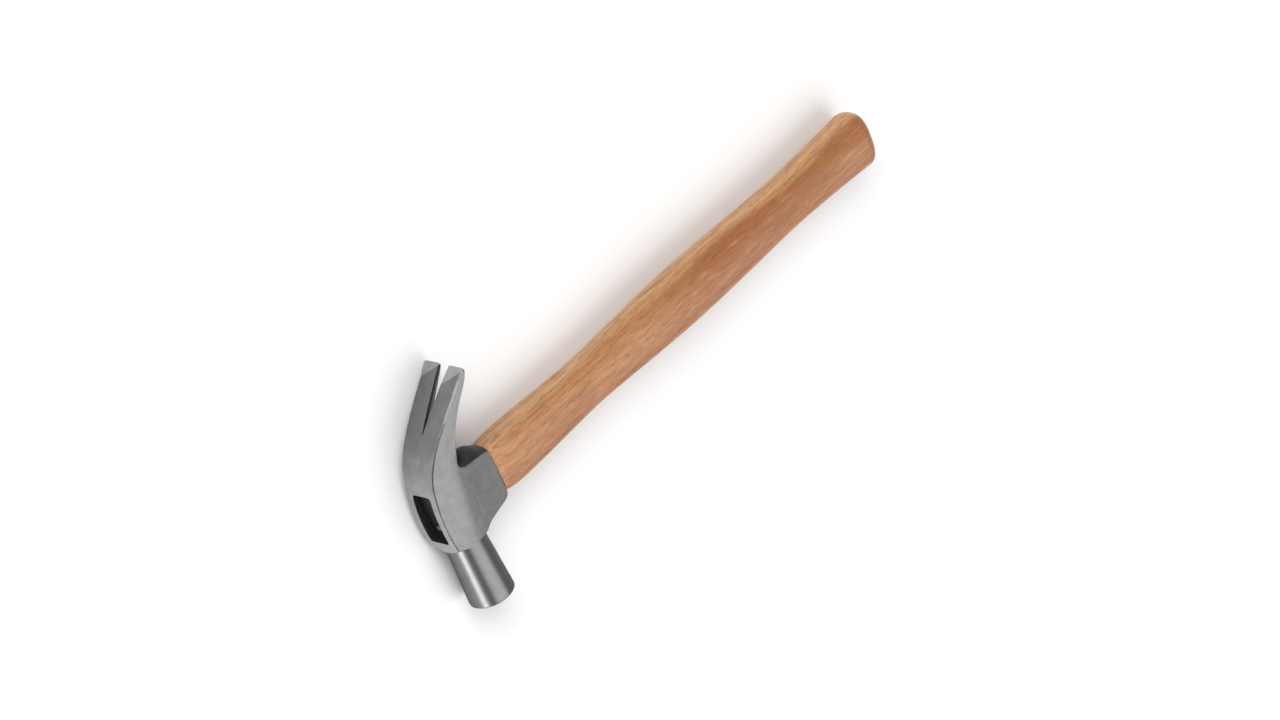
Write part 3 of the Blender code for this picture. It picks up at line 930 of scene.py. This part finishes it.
def lacquered_wood():
    """Fine-pored hardwood under clear satin lacquer, grain along the handle.

    The heart is darker and redder than the golden sapwood on the claw side; that lighter band along the
    claw-side edge is partly painted sheen on the handle's lit upper edge.
    """
    shader = Shader("lacquered_wood")
    sway = shader.noise(shader.place((0.012, 0.06, 0.06)), 1.0, 3.0, 0.5)
    x, y, z = shader.axes(shader.place())
    across = shader.math("SUBTRACT", shader.math("MULTIPLY", y, ACROSS_GRAIN[0]),
                         shader.math("MULTIPLY", z, ACROSS_GRAIN[1]))
    across = shader.math("ADD", across, shader.ranged(sway, 0.2, 0.8, -4.0, 4.0))
    rings = shader.math("SINE", shader.math("MULTIPLY", across, 1.5))
    growth = shader.ranged(rings, -1.0, 1.0)
    fibre = shader.noise(shader.place((0.085, 1.15, 1.15)), 1.0, 6.0, 0.7, 0.2)
    mottle = shader.noise(shader.place((0.05, 0.2, 0.2)), 1.0, 4.0, 0.6, 0.6)
    pores = shader.noise(shader.place((0.22, 1.9, 1.9)), 1.0, 3.0, 0.6)
    colour = shader.mix(shader.ranged(x, *HEART_X), NEAR_HEAD_WOOD, HEARTWOOD)
    pore_mask = shader.ranged(pores, 0.57, 0.68, 0.0, 0.5)
    # The claw-side band is partly sapwood colour and partly painted sheen where light grazes that edge.
    layers = [(shader.ranged(across, -3.0, -10.0), ROSE_WOOD),
              (shader.ranged(across, 6.0, 10.5), SAPWOOD_AND_SHEEN),
              (shader.ranged(mottle, 0.54, 0.70, 0.0, 0.6), DARK_MOTTLE),
              (shader.ranged(mottle, 0.45, 0.28, 0.0, 0.45), LIGHT_MOTTLE),
              (shader.math("MULTIPLY", growth, 0.25), GROWTH_RING),
              (shader.ranged(fibre, 0.48, 0.64, 0.0, 0.55), DARK_FIBRE),
              (shader.ranged(fibre, 0.44, 0.28, 0.0, 0.40), LIGHT_FIBRE),
              (pore_mask, PORE),
              (shader.ranged(x, *PAINTED_TENON_X), TENON_PAINT)]
    for amount, tint in layers:
        colour = shader.mix(amount, colour, tint)
    height = shader.math("SUBTRACT", shader.math("MULTIPLY", fibre, 0.5), pore_mask)
    gloss = shader.ranged(fibre, 0.3, 0.7, 0.38, 0.5)
    return shader.set(colour=colour, roughness=gloss, specular=0.35, coat=0.2, coat_roughness=0.24,
                      normal=shader.bump(height, 0.03, 0.7))


def painted_end_grain():
    """Softwood wedge whose end is under the eye's black paint."""
    shader = Shader("painted_end_grain")
    fibre = shader.noise(shader.place((0.1, 3.0, 3.0)), 1.0, 4.0, 0.6)
    colour = shader.mix(shader.ranged(fibre, 0.35, 0.7), (0.010, 0.010, 0.010), (0.045, 0.038, 0.032))
    return shader.set(colour=colour, roughness=shader.ranged(fibre, 0.3, 0.7, 0.25, 0.5),
                      normal=shader.bump(fibre, 0.15))


def stamped_steel():
    """Mild steel wedge with a hammered end and a film of paint in its hollows."""
    shader = Shader("stamped_steel")
    dents = shader.noise(shader.place(), 0.9, 3.0, 0.6)
    colour = shader.mix(shader.ranged(dents, 0.4, 0.62), (0.05, 0.05, 0.05), (0.34, 0.34, 0.35))
    return shader.set(colour=colour, roughness=shader.ranged(dents, 0.3, 0.7, 0.3, 0.5), metallic=1.0,
                      normal=shader.bump(dents, 0.2))


def pale_floor():
    shader = Shader("pale_floor")
    grain = shader.noise(shader.place(), 0.02, 2.0, 0.5)
    colour = shader.mix(grain, (0.92, 0.92, 0.92), (0.94, 0.94, 0.94))
    return shader.set(colour=colour, roughness=0.9, specular=0.2)


# ---------------------------------------------------------------- studio

def build_floor():
    bm = bmesh.new()
    bmesh.ops.create_circle(bm, cap_ends=True, segments=96, radius=FLOOR_RADIUS)
    floor = make_object("studio_floor", bm, [pale_floor()])
    floor.location = (0.0, 0.0, cad_box[0].z)


def build_world():
    """Soft studio surround: a dim room with broad soft panels, seen as plain pale by the camera."""
    world = bpy.data.worlds.new("studio")
    world.use_nodes = True
    bpy.context.scene.world = world
    tree = world.node_tree
    tree.nodes.clear()
    output = tree.nodes.new("ShaderNodeOutputWorld")
    where = tree.nodes.new("ShaderNodeTexCoord")
    total = None
    for direction, core, edge, strength in PANELS:
        dot = tree.nodes.new("ShaderNodeVectorMath")
        dot.operation = "DOT_PRODUCT"
        tree.links.new(where.outputs["Generated"], dot.inputs[0])
        dot.inputs[1].default_value = Vector(direction).normalized()
        ramp = tree.nodes.new("ShaderNodeMapRange")
        ramp.interpolation_type = "SMOOTHSTEP"
        tree.links.new(dot.outputs["Value"], ramp.inputs["Value"])
        ramp.inputs["From Min"].default_value = cos(radians(edge))
        ramp.inputs["From Max"].default_value = cos(radians(core))
        ramp.inputs["To Max"].default_value = strength
        if total is None:
            total = ramp.outputs[0]
        else:
            add = tree.nodes.new("ShaderNodeMath")
            tree.links.new(total, add.inputs[0])
            tree.links.new(ramp.outputs[0], add.inputs[1])
            total = add.outputs[0]
    room = tree.nodes.new("ShaderNodeMath")
    tree.links.new(total, room.inputs[0])
    room.inputs[1].default_value = ROOM_LIGHT
    panels_light = tree.nodes.new("ShaderNodeBackground")
    tree.links.new(room.outputs[0], panels_light.inputs["Strength"])
    backdrop = tree.nodes.new("ShaderNodeBackground")
    backdrop.inputs["Color"].default_value = (BACKDROP, BACKDROP, BACKDROP, 1.0)
    path = tree.nodes.new("ShaderNodeLightPath")
    chosen = tree.nodes.new("ShaderNodeMixShader")
    tree.links.new(path.outputs["Is Camera Ray"], chosen.inputs[0])
    tree.links.new(panels_light.outputs[0], chosen.inputs[1])
    tree.links.new(backdrop.outputs[0], chosen.inputs[2])
    tree.links.new(chosen.outputs[0], output.inputs["Surface"])


def build_camera():
    camera = bpy.data.cameras.new("camera")
    camera.lens = CAMERA_LENS
    camera.sensor_width = 36.0
    camera.clip_end = 100.0
    obj = bpy.data.objects.new("camera", camera)
    bpy.context.scene.collection.objects.link(obj)
    back = Vector(CAMERA_DIRECTION).normalized()
    right = Vector(CAMERA_UP).cross(back).normalized()
    up = back.cross(right)
    turn = Matrix((right, up, back)).transposed().to_4x4()
    aim = HAMMER_ORIGIN + Vector(CAMERA_AIM) * MM
    obj.matrix_world = Matrix.Translation(aim + back * CAMERA_DISTANCE) @ turn
    bpy.context.scene.camera = obj


build_camera()
build_world()
build_floor()
build_head([ground_steel("ground_steel", tone=0.23, claw_back_painted_reflection=0.93, eye_back_painted_reflection=1.55, roughness=0.33),
            ground_steel("chamfer_steel", tone=0.225, claw_back_painted_reflection=0.95, eye_back_painted_reflection=1.15, roughness=0.42),
            black_paint("grainy_black_paint", grain_size=0.45, rough=0.4, lift=0.16),
            turned_steel(),
            black_paint("glossy_black_paint", grain_size=0.9, rough=0.2, lift=0.05),
            ground_steel("facet_steel", tone=0.42, claw_back_painted_reflection=0.95, eye_back_painted_reflection=0.95, roughness=0.36)])
build_handle(lacquered_wood())
build_wooden_wedge(painted_end_grain())
build_steel_wedge(stamped_steel())
bpy.context.scene.view_settings.view_transform = "Standard"
